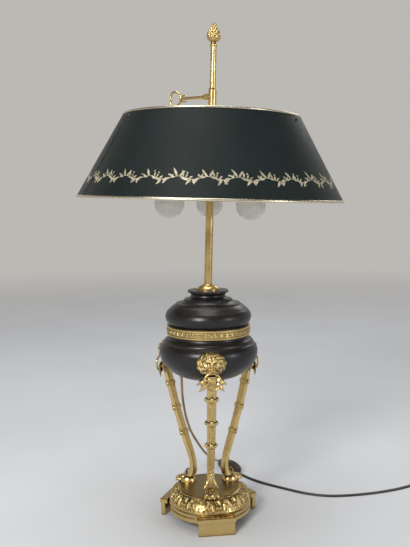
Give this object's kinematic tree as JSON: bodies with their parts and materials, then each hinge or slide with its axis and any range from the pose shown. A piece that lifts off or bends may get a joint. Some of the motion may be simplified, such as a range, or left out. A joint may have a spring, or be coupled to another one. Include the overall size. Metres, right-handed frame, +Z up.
{
  "type": "bouillotte lamp",
  "caption": "Table lamp with a painted metal shade that slides on its stem, an urn on lion legs, a round base and a cord with a switch.",
  "frame": {"origin": "on the floor, on the axis of the round base", "axes": "+Z up along the base axis, -Y towards the front leg, +X to the right as seen from the front"},
  "size_m": [0.6779, 0.4315, 0.7743],
  "materials": {
    "gilt": "chased and burnished gilt, dulled in the hollows",
    "brass": "plain turned brass, lightly tarnished",
    "patina": "near-black satin patina",
    "shade_paint": "very dark blue-green paint with a gilt leaf border",
    "steel": "plain steel",
    "frosted_glass": "frosted globe",
    "braid": "twisted silk-covered cord",
    "flex": "black twin flex",
    "brown_plastic": "dark brown moulded",
    "black_plastic": "black moulded"
  },
  "bodies": {
    "root": {"base_disc": "gilt", "base_plinth": "gilt", "braided_cord": "braid", "bulb_back": "frosted_glass", "bulb_cap_back": "steel", "bulb_cap_left": "steel", "bulb_cap_right": "steel", "bulb_holder_back": "brass", "bulb_holder_left": "brass", "bulb_holder_right": "brass", "bulb_left": "frosted_glass", "bulb_right": "frosted_glass", "cord_bush": "brass", "finial": "gilt", "flex_coil": "flex", "floor_flex": "flex", "leg_front": "gilt", "leg_left": "gilt", "leg_right": "gilt", "light_arm_back": "brass", "light_arm_left": "brass", "light_arm_right": "brass", "light_hub": "brass", "lion_mask_front": "gilt", "lion_mask_left": "gilt", "lion_mask_right": "gilt", "plug_body": "black_plastic", "plug_pins": "steel", "stem_collar": "brass", "stem_tube": "brass", "switch_base": "brown_plastic", "switch_cover": "brown_plastic", "tie_rod": "steel", "upper_rod": "brass", "urn_band": "gilt", "urn_bowl": "patina", "urn_cover": "patina", "urn_nut": "steel", "urn_washer": "steel"},
    "sleeve": {"shade_sleeve": "brass", "clamp_pad": "brass", "spider_nut": "brass"},
    "key": {"clamp_key": "gilt"},
    "shade_frame": {"shade": "shade_paint", "shade_top_bead": "gilt", "shade_bottom_bead": "gilt", "spider_hub": "brass", "spider_arms": "brass", "shade_screws": "brass"},
    "ring_front": {"mouth_ring_front": "gilt"},
    "ring_right": {"mouth_ring_right": "gilt"},
    "ring_left": {"mouth_ring_left": "gilt"},
    "rocker": {"switch_rocker": "brown_plastic"}
  },
  "joints": [
    {"name": "shade_slide", "type": "slide", "parent": "root", "child": "sleeve", "axis": [0.0308, -0.0164, 0.9994], "range_m": [-0.018, 0.06]},
    {"name": "shade_swivel", "type": "hinge", "parent": "sleeve", "child": "shade_frame", "pos_m": [0.00735, -0.00391, 0.61635], "axis": [0.0308, -0.0164, 0.9994], "continuous": true},
    {"name": "key_turn", "type": "hinge", "parent": "sleeve", "child": "key", "pos_m": [-0.00688, 0.00759, 0.66651], "axis": [-0.7875, 0.6154, 0.0344], "range_deg": [0, 360]},
    {"name": "ring_front_swing", "type": "hinge", "parent": "root", "child": "ring_front", "pos_m": [0, -0.0888, 0.2562], "axis": [-1, 0, 0], "range_deg": [-5, 75]},
    {"name": "ring_right_swing", "type": "hinge", "parent": "root", "child": "ring_right", "pos_m": [0.0769, 0.0444, 0.2562], "axis": [0.5, -0.866, 0], "range_deg": [-5, 75]},
    {"name": "ring_left_swing", "type": "hinge", "parent": "root", "child": "ring_left", "pos_m": [-0.0769, 0.0444, 0.2562], "axis": [0.5, 0.866, 0], "range_deg": [-5, 75]},
    {"name": "switch_rock", "type": "hinge", "parent": "root", "child": "rocker", "pos_m": [0.048, 0.1855, 0.01095], "axis": [0.8102, 0.5861, 0], "range_deg": [-7, 7]}
  ]
}
